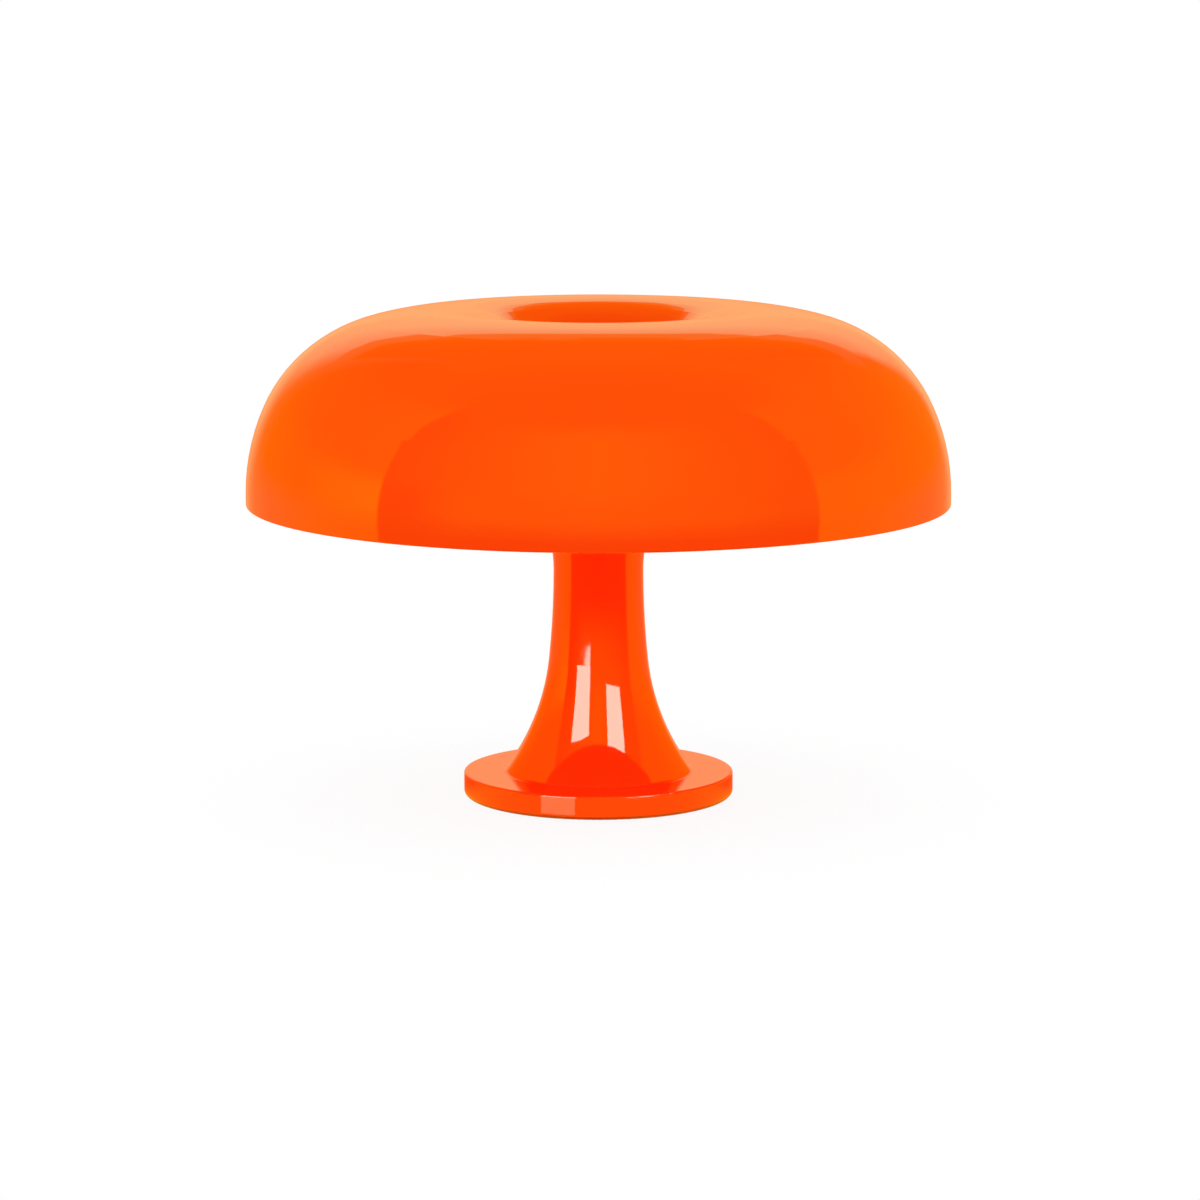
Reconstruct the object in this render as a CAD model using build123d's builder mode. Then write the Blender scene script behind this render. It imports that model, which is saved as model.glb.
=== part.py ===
from build123d import *
import os
from math import acos, asin, cos, degrees, radians, sin, sqrt, tan

# Dome table lamp with four small bulbs under a wide shade.
# Millimetres. The lamp axis is Z, the table top is z = 0 and the front is -Y.

# Shade, outside
shade_radius = 160.0
rim_height = 135.9  # lower edge of the shade above the table
dome_height = 87.7  # from the lower edge of the shade up to its crest
rim_band = 5.0  # upright band at the lower edge
side_arc = 95.0  # radius of the arc above the rim band
side_lean = 24.0  # degrees from upright where the side arc ends
shoulder_lean = 75.5  # degrees from upright where the shoulder arc ends
crest_radius = 70.0  # ring on which the dome is highest
shade_wall = 3.0
rim_rounding = 0.8

# Recess in the top of the shade, slopes in degrees from level
lip_arc = 98.0
lip_slope = 9.5
funnel_arc = 34.0
funnel_slope = 22.0
throat_arc = 17.0
throat_slope = 78.0
floor_corner = 4.0  # inside corner between the recess wall and its floor

# Stem and foot, one hollow moulding
pad_stand = 0.6  # lower edge of the foot above the table
foot_radius = 61.7
foot_thickness = 11.0
foot_plate = 2.6
foot_rim_wall = 3.0
foot_top_rounding = 1.0
foot_edge_rounding = 2.4
stem_wall = 3.0
waist_radius = 20.5
waist_below_rim = 31.0  # the thinnest place, measured down from the rim height
stem_above_rim = 6.6  # top of the stem, measured up from the rim height
collar_arc = 61.0  # trumpet curve above the waist
flare_foot_radius = 43.2  # where the stem meets the foot plate
flare_mid_lean = 6.0  # degrees from upright where the two lower curves meet
flare_foot_lean = 37.0
root_fillet = 2.0

# Bottom cover, its screws and the foot pads
cover_gap = 0.3
cover_above_edge = 0.4  # recessed by this much above the lower edge of the foot
cover_thickness = 2.0
cover_notch_width = 13.6
cover_notch_depth = 3.0
pad_radius = 5.0
pad_ring = 48.0
pad_pocket = 0.6
pad_gap = 0.05
pad_rounding = 0.5
pad_count = 4
pad_angle = 45.0
cover_screw_ring = 45.0
cover_screw_angles = (30.0, 150.0, 270.0)
screw_radius = 1.5
screw_hole = 1.7
pilot_hole = 1.6
countersunk_head = 2.9
countersunk_height = 1.4
head_sunk = 0.2
cover_screw_length = 5.6

# Ballast
ballast_radius = 55.0
ballast_gap = 0.6
web_bottom = 42.0  # where the centre tube passes through the ballast
web_thickness = 6.0
chamber_radius = 18.0
cord_groove_width = 7.0
cord_groove_height = 4.6

# Cord gland in the rear of the foot
slot_width = 9.4
slot_height = 7.2  # above the lower edge of the foot
slot_rounding = 1.5
slot_gap = 0.1
gland_low = 0.4  # above the lower edge of the foot
gland_flange = 1.3
gland_flange_width = 12.0
gland_flange_rise = 0.6  # outer flange above the slot
inner_flange = 2.3
cord_hole_width = 5.8
cord_hole_height = 3.6
cord_hole_centre = 4.8  # above the table

# Splice connectors
splice_length = 20.0
splice_width = 8.0
splice_height = 14.0
splice_offset = 5.5
splice_rounding = 0.8
port_pitch = 4.0
port_count = 5
port_radius = 1.1
port_depth = 5.0

# Centre tube with its nuts and washers
tube_radius = 5.0
tube_bore = 4.0
tube_below_web = 6.5
tube_above_floor = 6.5
tube_clearance = 0.1
tube_chamfer = 0.4
thread_clearance = 0.05
nut_flats = 14.0
nut_height = 3.0
nut_chamfer = 0.3
washer_radius = 9.0
washer_thickness = 1.0

# Hub under the shade: a base and a ring that meet at the height of the bulbs, and a cap on the ring
hub_radius = 35.0
hub_wall = 3.0
hub_plate = 3.0
hub_below_axis = 22.0  # from the top of the stem up to the bulb axis
hub_above_axis = 16.0  # from the bulb axis up to the cap
hub_edge_rounding = 1.5
skirt_depth = 3.5
skirt_wall = 3.0
skirt_gap = 0.3
boss_radius = 3.5
boss_reach = 5.5  # from the inside of the hub wall to the middle of a screw boss
boss_rib = 3.0  # width of the ribs that join the bosses to the wall of the ring
boss_count = 4
boss_angle = 45.0
hub_screw_length = 30.0
hub_screw_head = 2.75
hub_screw_sink = 2.4
hub_screw_sink_radius = 3.1
hub_screw_rounding = 0.6
screw_tip_gap = 0.6
drive_width = 0.7
drive_length = 3.0
drive_depth = 1.0

# Spigot on the hub and the ring under the shade that drops over it
spigot_radius = 17.0
spigot_height = 5.0
spigot_wall = 3.5
spigot_floor = 2.5
key_reach = 2.2
key_width = 4.0
key_count = 3
key_angle = 90.0
key_gap = 0.3
ring_wall = 3.5
ring_lift = 0.5  # ring end above the hub plate
seat_thickness = 1.0

# Lampholders: distances from the lamp axis along the bulb axis
bulb_angles = (0.0, 90.0, 180.0, 270.0)
holder_start = 20.0
holder_end = 58.0
holder_radius = 13.0
collar_radius = 14.5
inner_collar = 3.0
outer_collar = 2.7
collar_gap = 0.3
seat_gap = 0.05
contact_seat = 27.0
contact_bore = 6.0
shell_start = 33.0
shell_radius = 8.0
shell_seat_gap = 0.1
mouth_start = 49.0
mouth_radius = 9.2
terminal_radius = 1.0
terminal_depth = 4.0
holder_rounding = 0.8
thread_lead_in = 1.5  # from the start of the shell to the first turn
thread_turns = 5
thread_pitch = 2.82
thread_wave = 0.25
shell_thread = 6.9
contact_radius = 5.0
contact_thickness = 0.8
contact_nub = 2.0
contact_nub_height = 1.2

# Bulbs: distances from the lamp axis along the bulb axis
globe_radius = 22.5
glass_wall = 0.8
neck_radius = 7.9
neck_start = 50.6
neck_length = 5.7  # plain glass before the neck widens into the globe
neck_blend = 12.0
cap_thread = 6.7
cap_bore = 6.0
cap_plain = 0.4  # plain length after the last turn
skirt_radius = 8.5
skirt_bore = 8.1
skirt_step = 1.4
skirt_end = 54.0
insulator_back = 31.0
insulator_front = 36.0
insulator_back_radius = 3.4
insulator_radius = 5.9
pip_start = 29.1
pip_radius = 2.4
mount_foot = 51.0
mount_foot_radius = 7.0
mount_foot_height = 1.0
mount_cone_height = 3.0
mount_end = 72.0
mount_root_radius = 3.5
mount_tip_radius = 2.2
filament_room = 10.0  # from the end of the filaments to the tip of the bulb
filament_radius = 0.9
filament_ring = 6.0
support_width = 1.0
support_thickness = 0.6

# Leads from the lampholders down to the splice connectors
lead_radius = 0.8
lead_ring = 2.6
lead_spread = 22.5  # degrees to each side of the bulb axis
lead_corner = 17.0  # where a lead turns into line with its terminal
lead_end = 23.5
lead_top_bend = 9.0
lead_end_bend = 5.0
lead_low_bend = 3.0
lead_in_port = 3.5
high_fan = 33.0  # heights at which the leads leave the bundle below the tube
middle_fan = 28.0
low_fan = 26.0
fan_drop = 6.2
around_out = 5.5  # where a lead passes round the upright ones
around_side = 5.5
around_drop = 4.0
around_end_drop = 9.0

# Heights that follow from the sizes above
crest_height = rim_height + dome_height
waist_height = rim_height - waist_below_rim
stem_top = rim_height + stem_above_rim
foot_top = pad_stand + foot_thickness
plate_underside = foot_top - foot_plate
cover_bottom = pad_stand + cover_above_edge
cover_top = cover_bottom + cover_thickness
web_top = web_bottom + web_thickness
hub_floor = stem_top + hub_plate
bulb_height = stem_top + hub_below_axis
cap_underside = bulb_height + hub_above_axis
cap_top = cap_underside + hub_plate
spigot_top = cap_top + spigot_height
shade_seat = spigot_top + seat_thickness
recess_floor = shade_seat + shade_wall
ring_bottom = cap_top + ring_lift
splice_top = cover_top + splice_height
hub_inner = hub_radius - hub_wall
boss_ring = hub_inner - boss_reach
ring_bore = spigot_radius + key_gap
ring_radius = ring_bore + ring_wall
cap_start = shell_start + thread_lead_in
thread_end = cap_start + thread_turns * thread_pitch


def polar_point(radius, angle):
    """The point at a radius and an angle around the lamp axis."""
    return (radius * cos(radians(angle)), radius * sin(radians(angle)))


def arc_pair(run, rise, lean_start, lean_mid, lean_end):
    """Radii of two tangent arcs that cover a run and a rise between three leans from upright."""
    first_run = cos(radians(lean_start)) - cos(radians(lean_mid))
    first_rise = sin(radians(lean_mid)) - sin(radians(lean_start))
    second_run = cos(radians(lean_mid)) - cos(radians(lean_end))
    second_rise = sin(radians(lean_end)) - sin(radians(lean_mid))
    scale = first_run * second_rise - second_run * first_rise
    first = (run * second_rise - rise * second_run) / scale
    second = (rise * first_run - run * first_rise) / scale
    return first, second


# The side arc is given and the shoulder and top arcs are the two that reach the crest level.
side_run = side_arc * (1 - cos(radians(side_lean)))
side_rise = side_arc * sin(radians(side_lean))
shoulder_arc, top_arc = arc_pair(
    shade_radius - crest_radius - side_run,
    dome_height - rim_band - side_rise,
    side_lean,
    shoulder_lean,
    90.0,
)
dome_arcs = (
    (side_arc, side_lean),
    (shoulder_arc, shoulder_lean),
    (top_arc, 90.0),
    (lip_arc, 90.0 + lip_slope),
    (funnel_arc, 90.0 + funnel_slope),
    (throat_arc, 90.0 + throat_slope),
)

# The recess arcs and the floor corner take up part of the drop, a straight wall the rest.
lip_drop = lip_arc * (1 - cos(radians(lip_slope)))
funnel_drop = funnel_arc * (cos(radians(lip_slope)) - cos(radians(funnel_slope)))
throat_drop = throat_arc * (cos(radians(funnel_slope)) - cos(radians(throat_slope)))
corner_drop = floor_corner * (1 - cos(radians(throat_slope)))
wall_drop = crest_height - recess_floor - lip_drop - funnel_drop - throat_drop - corner_drop
recess_wall_length = wall_drop / sin(radians(throat_slope))

flare_upper_arc, flare_lower_arc = arc_pair(
    flare_foot_radius - waist_radius,
    waist_height - foot_top,
    0.0,
    flare_mid_lean,
    flare_foot_lean,
)


def dome_line(inset):
    """Draws half of the dome in section, inset below its outer face: rim, crest, recess, axis."""
    rim_point = (shade_radius - inset, rim_height)
    edge = Line(rim_point, (shade_radius - inset, rim_height + rim_band))
    lean = 0.0
    for radius, next_lean in dome_arcs:
        edge = JernArc(edge @ 1, edge % 1, radius - inset, next_lean - lean)
        lean = next_lean
    wall = PolarLine(edge @ 1, recess_wall_length, angle=lean + 90)
    corner = JernArc(wall @ 1, wall % 1, floor_corner + inset, -throat_slope)
    floor_point = (0, recess_floor - inset)
    Line(corner @ 1, floor_point)
    return rim_point, floor_point


def flare_line(inset, bottom):
    """Draws the stem below its waist in section, inset inside its outer face, down to a height."""
    start = (waist_radius - inset, waist_height)
    upper = JernArc(start, (0, -1), flare_upper_arc + inset, flare_mid_lean)
    lower = JernArc(upper @ 1, upper % 1, flare_lower_arc + inset, flare_foot_lean - flare_mid_lean)
    end = lower @ 1
    drop = end.Y - bottom
    if drop < 1e-6:
        return end
    run_out = Line(end, (end.X + drop * tan(radians(flare_foot_lean)), bottom))
    return run_out @ 1


def collar_line(inset):
    """Draws the stem above its waist in section, inset inside its outer face, up to its top."""
    start = (waist_radius - inset, waist_height)
    turn = degrees(asin((stem_top - waist_height) / (collar_arc + inset)))
    collar = JernArc(start, (0, 1), collar_arc + inset, -turn)
    return collar @ 1


def collar_bore_radius(height):
    """Inside radius of the stem above its waist."""
    radius = collar_arc + stem_wall
    return waist_radius - stem_wall + radius - sqrt(radius**2 - (height - waist_height) ** 2)


def bulb_plane(angle):
    """Plane through a bulb axis: its first direction runs outward, its second one up."""
    outward = (cos(radians(angle)), sin(radians(angle)), 0)
    return Plane(
        origin=(0, 0, bulb_height), x_dir=outward, z_dir=(sin(radians(angle)), -cos(radians(angle)), 0)
    )


def bulb_axis(angle):
    """The axis of the bulb at an angle around the lamp."""
    return Axis((0, 0, bulb_height), (cos(radians(angle)), sin(radians(angle)), 0))


def ring_edges(piece, radius):
    """The circular edges of a block that have a radius, the lowest one first."""
    circles = piece.edges().filter_by(GeomType.CIRCLE)
    return circles.filter_by(lambda edge: abs(edge.radius - radius) < 0.01).sort_by(Axis.Z)


def turned_piece(angle, draw_outline):
    """A solid turned about a bulb axis, from an outline of distance outward and radius."""
    with BuildPart() as piece:
        with BuildSketch(bulb_plane(angle)):
            with BuildLine():
                draw_outline()
            make_face()
        revolve(axis=bulb_axis(angle))
    return piece


def thread_line(mean_radius):
    """Draws the rounded lamp thread in section as half waves, outward and inward by turns."""
    half_pitch = thread_pitch / 2
    for number in range(2 * thread_turns):
        start = cap_start + number * half_pitch
        wave = thread_wave if number % 2 == 0 else -thread_wave
        ThreePointArc(
            (start, mean_radius),
            (start + half_pitch / 2, mean_radius + wave),
            (start + half_pitch, mean_radius),
        )


def drive_cross():
    """Draws the cross recess of a screw head."""
    Rectangle(drive_length, drive_width)
    Rectangle(drive_width, drive_length)


# Shade
with BuildPart() as shade:
    with BuildSketch(Plane.XZ):
        with BuildLine():
            outer_rim, outer_axis = dome_line(0.0)
            inner_rim, inner_axis = dome_line(shade_wall)
            Line(outer_rim, inner_rim)
            Line(outer_axis, inner_axis)
        make_face()
    revolve(axis=Axis.Z)
    fillet(ring_edges(shade, shade_radius)[0], rim_rounding)
    fillet(ring_edges(shade, shade_radius - shade_wall)[0], rim_rounding)
    # The ring under the recess floor, with a groove for each key of the hub
    with BuildSketch(Plane.XY.offset(ring_bottom)):
        Circle(ring_radius)
        Circle(ring_bore, mode=Mode.SUBTRACT)
    extrude(amount=shade_seat - ring_bottom)
    groove_reach = spigot_radius + key_reach + key_gap
    with BuildSketch(Plane.XY.offset(ring_bottom)):
        with PolarLocations(0, key_count, start_angle=key_angle):
            Rectangle(groove_reach, key_width + 2 * key_gap, align=(Align.MIN, Align.CENTER))
    extrude(amount=shade_seat - ring_bottom, mode=Mode.SUBTRACT)

# Stem and foot
with BuildPart() as stem_base:
    with BuildSketch(Plane.XZ):
        with BuildLine():
            flare_end = flare_line(0.0, foot_top)
            collar_end = collar_line(0.0)
            bore_end = flare_line(stem_wall, plate_underside)
            bore_top = collar_line(stem_wall)
            Line(collar_end, bore_top)
            Polyline(
                flare_end,
                (foot_radius, foot_top),
                (foot_radius, pad_stand),
                (foot_radius - foot_rim_wall, pad_stand),
                (foot_radius - foot_rim_wall, plate_underside),
                bore_end,
            )
        make_face()
    revolve(axis=Axis.Z)
    fillet(ring_edges(stem_base, flare_foot_radius), root_fillet)
    fillet(ring_edges(stem_base, foot_radius)[-1], foot_top_rounding)
    fillet(ring_edges(stem_base, foot_radius)[0], foot_edge_rounding)
    # Slot for the cord gland in the rear of the foot
    with BuildSketch(Plane.XZ.offset(-foot_radius - 1)) as slot:
        Rectangle(slot_width, pad_stand + slot_height, align=(Align.CENTER, Align.MIN))
        fillet(slot.vertices().group_by(Axis.Y)[-1], slot_rounding)
    extrude(amount=foot_rim_wall + 2, mode=Mode.SUBTRACT)

# Ballast
with BuildPart() as ballast:
    with BuildSketch(Plane.XZ):
        with BuildLine():
            boss_inset = stem_wall + ballast_gap
            boss_foot = flare_line(boss_inset, plate_underside)
            Polyline(
                boss_foot, (0, plate_underside), (0, waist_height), (waist_radius - boss_inset, waist_height)
            )
        make_face()
        Rectangle(foot_radius, web_top, align=(Align.MIN, Align.MIN), mode=Mode.INTERSECT)
    revolve(axis=Axis.Z)
    with BuildSketch(Plane.XY.offset(cover_top)):
        Circle(ballast_radius)
    extrude(amount=plate_underside - cover_top)
    with BuildSketch(Plane.XY.offset(cover_top)):
        Circle(chamber_radius)
    extrude(amount=web_bottom - cover_top, mode=Mode.SUBTRACT)
    with BuildSketch(Plane.XY.offset(web_bottom)):
        Circle(tube_radius + tube_clearance)
    extrude(amount=web_thickness, mode=Mode.SUBTRACT)
    with BuildSketch(Plane.XY.offset(cover_top)):
        with PolarLocations(cover_screw_ring, len(cover_screw_angles), start_angle=cover_screw_angles[0]):
            Circle(pilot_hole)
    extrude(amount=plate_underside - cover_top, mode=Mode.SUBTRACT)
    with BuildSketch(Plane.XY.offset(cover_top)):
        Rectangle(cord_groove_width, ballast_radius + 1, align=(Align.CENTER, Align.MIN))
    extrude(amount=cord_groove_height, mode=Mode.SUBTRACT)

# Bottom cover
with BuildPart() as bottom_cover:
    cover_radius = foot_radius - foot_rim_wall - cover_gap
    with BuildSketch(Plane.XY.offset(cover_bottom)):
        Circle(cover_radius)
        with Locations((0, cover_radius)):
            Rectangle(cover_notch_width, 2 * cover_notch_depth, mode=Mode.SUBTRACT)
    extrude(amount=cover_thickness)
    with BuildSketch(Plane.XY.offset(cover_bottom)):
        with PolarLocations(pad_ring, pad_count, start_angle=pad_angle):
            Circle(pad_radius)
    extrude(amount=pad_pocket, mode=Mode.SUBTRACT)
    for angle in cover_screw_angles:
        hole_point = (*polar_point(cover_screw_ring, angle), cover_bottom)
        with Locations(Plane(origin=hole_point, z_dir=(0, 0, -1))):
            CounterSinkHole(screw_hole, countersunk_head + head_sunk, counter_sink_angle=90)

# Countersunk screws of the bottom cover
with BuildPart() as cover_screws:
    head_low = cover_bottom + head_sunk
    for angle in cover_screw_angles:
        x, y = polar_point(cover_screw_ring, angle)
        with BuildSketch(Plane(origin=(x, y, 0), x_dir=(1, 0, 0), z_dir=(0, -1, 0))):
            with BuildLine():
                Polyline(
                    (0, head_low),
                    (countersunk_head, head_low),
                    (screw_radius, head_low + countersunk_height),
                    (screw_radius, head_low + cover_screw_length),
                    (0, head_low + cover_screw_length),
                    close=True,
                )
            make_face()
        revolve(axis=Axis((x, y, 0), (0, 0, 1)))
        with BuildSketch(Plane.XY.offset(head_low)):
            with Locations((x, y)):
                drive_cross()
        extrude(amount=drive_depth, mode=Mode.SUBTRACT)

# Foot pads
with BuildPart() as foot_pads:
    with BuildSketch():
        with PolarLocations(pad_ring, pad_count, start_angle=pad_angle):
            Circle(pad_radius - pad_gap)
    extrude(amount=cover_bottom + pad_pocket)
    fillet(foot_pads.edges().group_by(Axis.Z)[0], pad_rounding)

# Cord gland: a neck through the slot between two flanges that follow the foot wall
with BuildPart() as cord_gland:
    gland_bottom = pad_stand + gland_low
    neck_top = pad_stand + slot_height - slot_gap
    wall_inside = foot_radius - foot_rim_wall - slot_gap
    wall_outside = foot_radius + slot_gap
    gland_inside = wall_inside - inner_flange
    gland_outside = wall_outside + gland_flange
    with BuildSketch(Plane.XZ.offset(-gland_outside)) as neck:
        with Locations((0, gland_bottom)):
            Rectangle(slot_width - 2 * slot_gap, neck_top - gland_bottom, align=(Align.CENTER, Align.MIN))
        fillet(neck.vertices().group_by(Axis.Y)[-1], slot_rounding)
    extrude(amount=gland_outside - gland_inside)
    with BuildSketch(Plane.XY.offset(gland_bottom)):
        Circle(wall_outside)
        Circle(wall_inside, mode=Mode.SUBTRACT)
    extrude(amount=foot_top, mode=Mode.INTERSECT)
    flanges = (
        (gland_inside, wall_inside, plate_underside - slot_gap),
        (wall_outside, gland_outside, neck_top + gland_flange_rise),
    )
    for inside, outside, top in flanges:
        with BuildSketch(Plane.XY.offset(gland_bottom)):
            Circle(outside)
            Circle(inside, mode=Mode.SUBTRACT)
            with Locations((0, foot_radius)):
                Rectangle(gland_flange_width, foot_radius / 2, mode=Mode.INTERSECT)
        extrude(amount=top - gland_bottom)
    with BuildSketch(Plane.XZ.offset(-gland_outside - 1)):
        with Locations((0, cord_hole_centre)):
            SlotOverall(cord_hole_width, cord_hole_height)
    extrude(amount=gland_outside - gland_inside + 3, mode=Mode.SUBTRACT)

# Splice connectors, one for each pole
with BuildPart() as splice_connectors:
    with BuildSketch(Plane.XY.offset(cover_top)):
        with Locations((0, splice_offset), (0, -splice_offset)):
            Rectangle(splice_length, splice_width)
    extrude(amount=splice_height)
    fillet(splice_connectors.edges().filter_by(Axis.Z), splice_rounding)
    with BuildSketch(Plane.XY.offset(splice_top)):
        with Locations((0, splice_offset), (0, -splice_offset)):
            with GridLocations(port_pitch, port_pitch, port_count, 1):
                Circle(port_radius)
    extrude(amount=-port_depth, mode=Mode.SUBTRACT)

# Centre tube
with BuildPart() as centre_tube:
    with BuildSketch(Plane.XY.offset(web_bottom - tube_below_web)):
        Circle(tube_radius)
        Circle(tube_bore, mode=Mode.SUBTRACT)
    extrude(amount=hub_floor + tube_above_floor - web_bottom + tube_below_web)
    chamfer(ring_edges(centre_tube, tube_radius), tube_chamfer)


def washer(bottom):
    """A flat washer on the centre tube."""
    with BuildPart() as piece:
        with BuildSketch(Plane.XY.offset(bottom)):
            Circle(washer_radius)
            Circle(tube_radius + tube_clearance, mode=Mode.SUBTRACT)
        extrude(amount=washer_thickness)
    return piece


def nut(bottom):
    """A hexagon nut on the centre tube."""
    with BuildPart() as piece:
        with BuildSketch(Plane.XY.offset(bottom)):
            RegularPolygon(nut_flats / 2, 6, major_radius=False)
        extrude(amount=nut_height)
        chamfer(piece.edges().filter_by(Axis.Z, reverse=True), nut_chamfer)
        with BuildSketch(Plane.XY.offset(bottom)):
            Circle(tube_radius + thread_clearance)
        extrude(amount=nut_height, mode=Mode.SUBTRACT)
    return piece


lower_washer = washer(web_bottom - washer_thickness)
lower_nut = nut(web_bottom - washer_thickness - nut_height)
upper_washer = washer(hub_floor)
upper_nut = nut(hub_floor + washer_thickness)

# Base of the hub, under the lampholders
with BuildPart() as hub_base:
    with BuildSketch(Plane.XY.offset(stem_top)):
        Circle(hub_radius)
    extrude(amount=hub_plate)
    with BuildSketch(Plane.XY.offset(hub_floor)):
        Circle(hub_radius)
        Circle(hub_inner, mode=Mode.SUBTRACT)
        with PolarLocations(boss_ring, boss_count, start_angle=boss_angle):
            Circle(boss_radius)
    extrude(amount=bulb_height - hub_floor)
    fillet(hub_base.edges().group_by(Axis.Z)[0], hub_edge_rounding)
    skirt_radius_out = collar_bore_radius(stem_top - skirt_depth) - skirt_gap
    with BuildSketch(Plane.XY.offset(stem_top)):
        Circle(skirt_radius_out)
    extrude(amount=-skirt_depth)
    with BuildSketch(Plane.XY.offset(stem_top)):
        Circle(skirt_radius_out - skirt_wall)
    extrude(amount=-skirt_depth, mode=Mode.SUBTRACT)
    with BuildSketch(Plane.XY.offset(stem_top)):
        Circle(tube_radius + tube_clearance)
    extrude(amount=hub_plate, mode=Mode.SUBTRACT)
    with BuildSketch(Plane.XY.offset(bulb_height)):
        with PolarLocations(boss_ring, boss_count, start_angle=boss_angle):
            Circle(pilot_hole)
    pilot_depth = hub_screw_length + screw_tip_gap - (cap_top - hub_screw_sink - bulb_height)
    extrude(amount=-pilot_depth, mode=Mode.SUBTRACT)
    for angle in bulb_angles:
        with BuildSketch(Plane(origin=(0, 0, bulb_height), z_dir=(*polar_point(1, angle), 0))):
            Circle(holder_radius + seat_gap)
        extrude(amount=hub_radius + 1, mode=Mode.SUBTRACT)

# Ring of the hub, over the lampholders
with BuildPart() as hub_ring:
    with BuildSketch(Plane.XY.offset(bulb_height)):
        Circle(hub_radius)
        Circle(hub_inner, mode=Mode.SUBTRACT)
        with PolarLocations(boss_ring, boss_count, start_angle=boss_angle):
            Circle(boss_radius)
            Rectangle(boss_reach + hub_wall / 2, boss_rib, align=(Align.MIN, Align.CENTER))
    extrude(amount=hub_above_axis)
    with BuildSketch(Plane.XY.offset(bulb_height)):
        with PolarLocations(boss_ring, boss_count, start_angle=boss_angle):
            Circle(screw_hole)
    extrude(amount=hub_above_axis, mode=Mode.SUBTRACT)
    for angle in bulb_angles:
        with BuildSketch(Plane(origin=(0, 0, bulb_height), z_dir=(*polar_point(1, angle), 0))):
            Circle(holder_radius + seat_gap)
        extrude(amount=hub_radius + 1, mode=Mode.SUBTRACT)

# Cap of the hub, with the spigot that carries the shade
with BuildPart() as hub_cap:
    with BuildSketch(Plane.XY.offset(cap_underside)):
        Circle(hub_radius)
    extrude(amount=hub_plate)
    fillet(hub_cap.edges().group_by(Axis.Z)[-1], hub_edge_rounding)
    with BuildSketch(Plane.XY.offset(cap_top)):
        Circle(spigot_radius)
        with PolarLocations(0, key_count, start_angle=key_angle):
            Rectangle(spigot_radius + key_reach, key_width, align=(Align.MIN, Align.CENTER))
    extrude(amount=spigot_height)
    with BuildSketch(Plane.XY.offset(spigot_top)):
        Circle(spigot_radius - spigot_wall)
    extrude(amount=spigot_floor - spigot_height, mode=Mode.SUBTRACT)
    with BuildSketch(Plane.XY.offset(cap_top)):
        with PolarLocations(boss_ring, boss_count, start_angle=boss_angle):
            Circle(screw_hole)
    extrude(amount=-hub_plate, mode=Mode.SUBTRACT)
    with BuildSketch(Plane.XY.offset(cap_top)):
        with PolarLocations(boss_ring, boss_count, start_angle=boss_angle):
            Circle(hub_screw_sink_radius)
    extrude(amount=-hub_screw_sink, mode=Mode.SUBTRACT)

# Screws that close the hub
with BuildPart() as hub_screws:
    head_seat = cap_top - hub_screw_sink
    with BuildSketch(Plane.XY.offset(head_seat)):
        with PolarLocations(boss_ring, boss_count, start_angle=boss_angle):
            Circle(hub_screw_head)
    extrude(amount=hub_screw_sink)
    fillet(hub_screws.edges().group_by(Axis.Z)[-1], hub_screw_rounding)
    with BuildSketch(Plane.XY.offset(head_seat)):
        with PolarLocations(boss_ring, boss_count, start_angle=boss_angle):
            Circle(screw_radius)
    extrude(amount=-hub_screw_length)
    with BuildSketch(Plane.XY.offset(cap_top)):
        with PolarLocations(boss_ring, boss_count, start_angle=boss_angle):
            drive_cross()
    extrude(amount=-drive_depth, mode=Mode.SUBTRACT)

# Soft ring between the spigot and the shade
with BuildPart() as seat_ring:
    with BuildSketch(Plane.XY.offset(spigot_top)):
        Circle(spigot_radius)
        Circle(spigot_radius - spigot_wall, mode=Mode.SUBTRACT)
    extrude(amount=seat_thickness)

# Lampholders
terminal_offset = lead_corner * tan(radians(lead_spread))
inner_collar_end = sqrt(hub_inner**2 - collar_radius**2) - collar_gap


def housing_outline():
    """Outline of a lampholder housing: two collars outside, three steps inside."""
    inner_collar_start = inner_collar_end - inner_collar
    outer_collar_start = hub_radius + collar_gap
    Polyline(
        (holder_start, 0),
        (holder_start, holder_radius),
        (inner_collar_start, holder_radius),
        (inner_collar_start, collar_radius),
        (inner_collar_end, collar_radius),
        (inner_collar_end, holder_radius),
        (outer_collar_start, holder_radius),
        (outer_collar_start, collar_radius),
        (outer_collar_start + outer_collar, collar_radius),
        (outer_collar_start + outer_collar, holder_radius),
        (holder_end, holder_radius),
        (holder_end, mouth_radius),
        (mouth_start, mouth_radius),
        (mouth_start, shell_radius + shell_seat_gap),
        (shell_start, shell_radius + shell_seat_gap),
        (shell_start, contact_bore),
        (contact_seat, contact_bore),
        (contact_seat, 0),
        close=True,
    )


def lampholder(angle):
    """A lampholder housing with a terminal hole for each of its two leads."""
    outward = (*polar_point(1, angle), 0)
    with BuildPart() as piece:
        with BuildSketch(bulb_plane(angle)):
            with BuildLine():
                housing_outline()
            make_face()
        revolve(axis=bulb_axis(angle))
        rear = piece.faces().filter_by(GeomType.PLANE).sort_by(bulb_axis(angle))[0]
        fillet(rear.edges(), holder_rounding)
        front = piece.faces().filter_by(GeomType.PLANE).sort_by(bulb_axis(angle))[-1]
        fillet(front.outer_wire().edges(), holder_rounding)
        rear_point = (*polar_point(holder_start, angle), bulb_height)
        with BuildSketch(Plane(origin=rear_point, x_dir=(0, 0, 1), z_dir=outward)):
            with Locations((0, terminal_offset), (0, -terminal_offset)):
                Circle(terminal_radius)
        extrude(amount=terminal_depth, mode=Mode.SUBTRACT)
    return piece


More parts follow.
